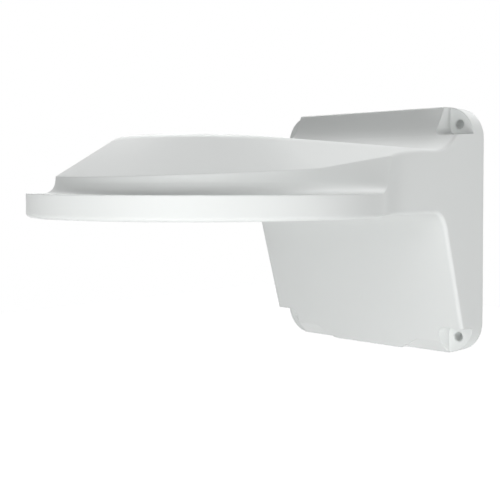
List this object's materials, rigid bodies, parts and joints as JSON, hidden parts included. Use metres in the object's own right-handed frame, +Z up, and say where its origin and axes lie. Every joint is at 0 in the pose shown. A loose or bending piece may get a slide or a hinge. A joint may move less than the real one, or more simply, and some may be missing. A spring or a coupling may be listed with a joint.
{
  "type": "camera wall bracket",
  "caption": "White hollow wall bracket: a square wall box with screw pockets and a short arm to a round seat under a sloping hood, for hanging a dome camera.",
  "frame": {"origin": "centre of the wall screw pattern, in the plane of the wall box's back", "axes": "+Y into the wall, so the bracket reaches out along -Y; +Z up; +X across"},
  "size_m": [0.151, 0.1995, 0.12],
  "materials": {
    "white_coat": "fine white powder coat, satin"
  },
  "bodies": {
    "root": {"bracket_body": "white_coat"}
  },
  "joints": []
}
